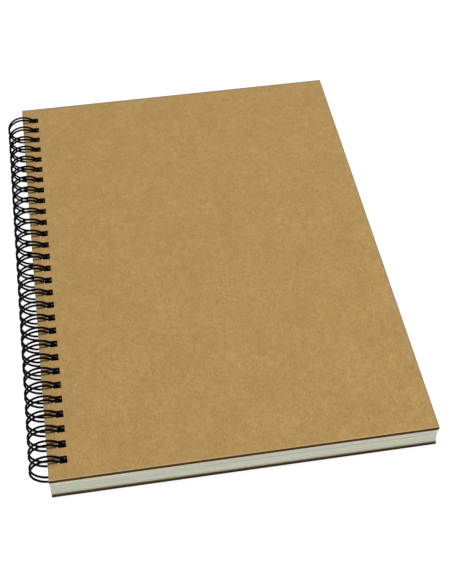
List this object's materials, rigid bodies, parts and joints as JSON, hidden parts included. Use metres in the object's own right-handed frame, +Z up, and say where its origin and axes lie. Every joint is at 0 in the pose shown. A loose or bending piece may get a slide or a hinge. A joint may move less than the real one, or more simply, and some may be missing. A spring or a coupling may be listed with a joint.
{
  "type": "wire-bound sketchbook",
  "caption": "Portrait sketchbook with kraft board covers and loose drawing sheets, punched along the left side and bound by a black twin-loop wire.",
  "frame": {"origin": "middle of the closed book's base, on the plane that the lowest point of the binding wire touches", "axes": "+X from the bound spine to the fore-edge, +Y along the spine towards the head of the book, +Z up through the front cover"},
  "size_m": [0.1892, 0.258, 0.0181],
  "materials": {
    "kraft_paper": "uncoated kraft paper liner",
    "core_board": "laser-cut board, edge browned",
    "drawing_paper": "uncoated off-white cartridge paper",
    "coated_wire": "gloss black nylon-coated steel wire"
  },
  "bodies": {
    "back_cover": {"back_outer_liner": "kraft_paper", "back_core_board": "core_board", "back_inner_liner": "kraft_paper", "binding_wire": "coated_wire"},
    "rear_sheets": {"sheet_26": "drawing_paper", "sheet_27": "drawing_paper", "sheet_28": "drawing_paper", "sheet_29": "drawing_paper", "sheet_30": "drawing_paper", "sheet_31": "drawing_paper", "sheet_32": "drawing_paper", "sheet_33": "drawing_paper", "sheet_34": "drawing_paper", "sheet_35": "drawing_paper", "sheet_36": "drawing_paper", "sheet_37": "drawing_paper", "sheet_38": "drawing_paper", "sheet_39": "drawing_paper", "sheet_40": "drawing_paper", "sheet_41": "drawing_paper", "sheet_42": "drawing_paper", "sheet_43": "drawing_paper", "sheet_44": "drawing_paper", "sheet_45": "drawing_paper", "sheet_46": "drawing_paper", "sheet_47": "drawing_paper", "sheet_48": "drawing_paper", "sheet_49": "drawing_paper", "sheet_50": "drawing_paper"},
    "front_sheets": {"sheet_02": "drawing_paper", "sheet_03": "drawing_paper", "sheet_04": "drawing_paper", "sheet_05": "drawing_paper", "sheet_06": "drawing_paper", "sheet_07": "drawing_paper", "sheet_08": "drawing_paper", "sheet_09": "drawing_paper", "sheet_10": "drawing_paper", "sheet_11": "drawing_paper", "sheet_12": "drawing_paper", "sheet_13": "drawing_paper", "sheet_14": "drawing_paper", "sheet_15": "drawing_paper", "sheet_16": "drawing_paper", "sheet_17": "drawing_paper", "sheet_18": "drawing_paper", "sheet_19": "drawing_paper", "sheet_20": "drawing_paper", "sheet_21": "drawing_paper", "sheet_22": "drawing_paper", "sheet_23": "drawing_paper", "sheet_24": "drawing_paper", "sheet_25": "drawing_paper"},
    "first_sheet": {"sheet_01": "drawing_paper"},
    "front_cover": {"front_inner_liner": "kraft_paper", "front_core_board": "core_board", "front_outer_liner": "kraft_paper"}
  },
  "joints": [
    {"name": "rear_sheets_turn", "type": "hinge", "parent": "back_cover", "child": "rear_sheets", "pos_m": [-0.08558, 0, 0.00903], "axis": [0, 1, 0], "range_deg": [-180, 0]},
    {"name": "front_sheets_turn", "type": "hinge", "parent": "rear_sheets", "child": "front_sheets", "pos_m": [-0.08558, 0, 0.00903], "axis": [0, -1, 0], "range_deg": [0, 180]},
    {"name": "first_sheet_turn", "type": "hinge", "parent": "front_sheets", "child": "first_sheet", "pos_m": [-0.08558, 0, 0.00903], "axis": [0, -1, 0], "range_deg": [0, 180]},
    {"name": "front_cover_turn", "type": "hinge", "parent": "first_sheet", "child": "front_cover", "pos_m": [-0.08558, 0, 0.00903], "axis": [0, -1, 0], "range_deg": [0, 180]}
  ]
}
